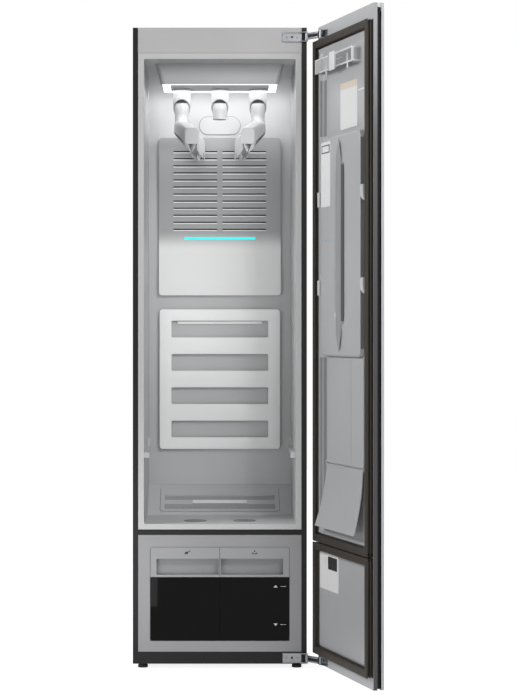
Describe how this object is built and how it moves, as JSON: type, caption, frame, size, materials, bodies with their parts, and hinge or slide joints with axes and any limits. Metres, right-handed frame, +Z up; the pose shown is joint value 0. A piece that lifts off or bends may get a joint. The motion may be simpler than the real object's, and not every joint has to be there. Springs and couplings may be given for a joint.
{
  "type": "clothes care steam cabinet",
  "caption": "Tall narrow clothes steaming cabinet with an open hinged door, air hangers, louvred back panel, storage rack and pull-out water tanks.",
  "frame": {"origin": "on the floor, on the cabinet's centreline, in the plane of the casing's front face", "axes": "+Z up, +X to the right seen from the front, +Y from the front to the back"},
  "size_m": [0.6888, 1.0271, 1.85],
  "materials": {
    "black_steel": "satin powder coat",
    "grey_steel": "satin enamel",
    "galvanised_steel": "galvanised sheet",
    "black_rubber": "matt",
    "black_plastic": "fine texture",
    "flange_plastic": "satin gloss",
    "liner_plastic": "gloss",
    "housing_plastic": "satin",
    "white_plastic": "satin gloss",
    "lamp_plastic": "opal",
    "cyan_lens": "clear",
    "bay_plastic": "satin metallic",
    "smoked_plastic": "high gloss",
    "grey_plastic": "satin",
    "hinge_steel": "bright nickel",
    "door_steel": "satin enamel",
    "gasket_rubber": "matt",
    "board_plastic": "fine texture",
    "motor_steel": "enamel",
    "exchanger_aluminium": "plain",
    "circuit_board": "solder resist",
    "boiler_plastic": "plain",
    "hose_rubber": "silicone"
  },
  "bodies": {
    "cabinet": {"side_panel_left": "black_steel", "side_panel_right": "black_steel", "top_panel": "black_steel", "back_panel": "galvanised_steel", "base_tray": "black_steel", "divider_rail": "black_steel", "top_fascia": "grey_steel", "cavity_frame": "flange_plastic", "cavity_liner": "liner_plastic", "cavity_back_wall": "liner_plastic", "cavity_floor": "liner_plastic", "steam_outlets": "grey_plastic", "service_cover": "white_plastic", "shelf_brackets": "grey_plastic", "hanger_housing": "housing_plastic", "lamp_diffuser": "lamp_plastic", "port_collars": "white_plastic", "grille_panel": "white_plastic", "light_bar_lens": "cyan_lens", "rack_hooks": "white_plastic", "bay_frame": "bay_plastic", "bay_tray": "black_plastic", "steam_generator": "boiler_plastic", "steam_hose": "hose_rubber", "compressor": "motor_steel", "heat_exchanger": "exchanger_aluminium", "control_board": "circuit_board", "power_inlet": "black_plastic", "fan_cases": "grey_plastic", "fan_motors": "motor_steel", "hinge_plates": "hinge_steel"},
    "hinge_arm_pair": {"hinge_arms": "hinge_steel"},
    "door": {"hinge_wings": "hinge_steel", "door_skin": "door_steel", "door_channel": "black_plastic", "door_tray": "door_steel", "door_gaskets": "gasket_rubber", "door_liner": "liner_plastic", "trouser_bar": "grey_plastic", "board_tabs": "board_plastic", "lower_cover": "board_plastic"},
    "press_board": {"press_board": "board_plastic"},
    "hem_flap": {"hem_flap": "board_plastic"},
    "fill_tank": {"fill_tank": "smoked_plastic", "fill_tank_front": "bay_plastic"},
    "drain_tank": {"drain_tank": "smoked_plastic", "drain_tank_front": "bay_plastic"},
    "storage_rack": {"storage_rack": "white_plastic"},
    "lint_filter": {"lint_filter": "grey_plastic"},
    "port_ring_left": {"port_ring_left": "black_rubber"},
    "port_ring_right": {"port_ring_right": "black_rubber"},
    "hanger_left": {"hanger_left": "white_plastic"},
    "hanger_right": {"hanger_right": "white_plastic"},
    "center_nozzle": {"center_nozzle": "white_plastic"},
    "blower_wheel": {"blower_wheel": "black_plastic"},
    "fan_wheel": {"fan_wheel": "black_plastic"},
    "foot_front_left": {"foot_front_left": "black_rubber"},
    "foot_front_right": {"foot_front_right": "black_rubber"},
    "foot_back_left": {"foot_back_left": "black_rubber"},
    "foot_back_right": {"foot_back_right": "black_rubber"}
  },
  "joints": [
    {"name": "hinge_arm_swing", "type": "hinge", "parent": "cabinet", "child": "hinge_arm_pair", "pos_m": [0.25, -0.014, 1], "axis": [0, 0, 1], "range_deg": [-135, 9.7]},
    {"name": "door_swing", "type": "hinge", "parent": "hinge_arm_pair", "child": "door", "pos_m": [0.28748, -0.06138, 1], "axis": [0, 0, 1], "range_deg": [-2.24, 30.55]},
    {"name": "press_board_swing", "type": "hinge", "parent": "door", "child": "press_board", "pos_m": [0.29018, -0.06584, 1.212], "axis": [0, 0, -1], "range_deg": [0, 90]},
    {"name": "hem_flap_lift", "type": "hinge", "parent": "door", "child": "hem_flap", "pos_m": [0.34543, -0.26949, 0.598], "axis": [-0.2504, 0.9681, 0], "range_deg": [0, 60]},
    {"name": "fill_tank_slide", "type": "slide", "parent": "cabinet", "child": "fill_tank", "axis": [0, -1, 0], "range_m": [0, 0.16]},
    {"name": "drain_tank_slide", "type": "slide", "parent": "cabinet", "child": "drain_tank", "axis": [0, -1, 0], "range_m": [0, 0.16]},
    {"name": "storage_rack_slide", "type": "slide", "parent": "cabinet", "child": "storage_rack", "axis": [0, -1, 0], "range_m": [0, 0.38]},
    {"name": "lint_filter_pull", "type": "slide", "parent": "cabinet", "child": "lint_filter", "axis": [0, -0.5, 0.866], "range_m": [0, 0.08]},
    {"name": "port_ring_left_slide", "type": "slide", "parent": "cabinet", "child": "port_ring_left", "axis": [0, 0, -1], "range_m": [0, 0.06]},
    {"name": "port_ring_right_slide", "type": "slide", "parent": "cabinet", "child": "port_ring_right", "axis": [0, 0, -1], "range_m": [0, 0.06]},
    {"name": "hanger_left_swivel", "type": "hinge", "parent": "port_ring_left", "child": "hanger_left", "pos_m": [-0.114, 0.245, 1.7], "axis": [0, 0, 1], "range_deg": [-12, 12]},
    {"name": "hanger_right_swivel", "type": "hinge", "parent": "port_ring_right", "child": "hanger_right", "pos_m": [0.114, 0.245, 1.7], "axis": [0, 0, -1], "range_deg": [-12, 12]},
    {"name": "center_nozzle_pull", "type": "slide", "parent": "cabinet", "child": "center_nozzle", "axis": [0, 0, -1], "range_m": [0, 0.06]},
    {"name": "blower_spin", "type": "hinge", "parent": "cabinet", "child": "blower_wheel", "pos_m": [0, 0.245, 1.8095], "axis": [0, 0, 1], "continuous": true},
    {"name": "fan_spin", "type": "hinge", "parent": "cabinet", "child": "fan_wheel", "pos_m": [0, 0.4785, 1.4], "axis": [0, 1, 0], "continuous": true},
    {"name": "foot_front_left_screw", "type": "slide", "parent": "cabinet", "child": "foot_front_left", "axis": [0, 0, -1], "range_m": [0, 0.012]},
    {"name": "foot_front_right_screw", "type": "slide", "parent": "cabinet", "child": "foot_front_right", "axis": [0, 0, -1], "range_m": [0, 0.012]},
    {"name": "foot_back_left_screw", "type": "slide", "parent": "cabinet", "child": "foot_back_left", "axis": [0, 0, -1], "range_m": [0, 0.012]},
    {"name": "foot_back_right_screw", "type": "slide", "parent": "cabinet", "child": "foot_back_right", "axis": [0, 0, -1], "range_m": [0, 0.012]}
  ],
  "couplings": [
    {"joint": "door_swing", "follows": "hinge_arm_swing", "ratio": -0.22593}
  ]
}
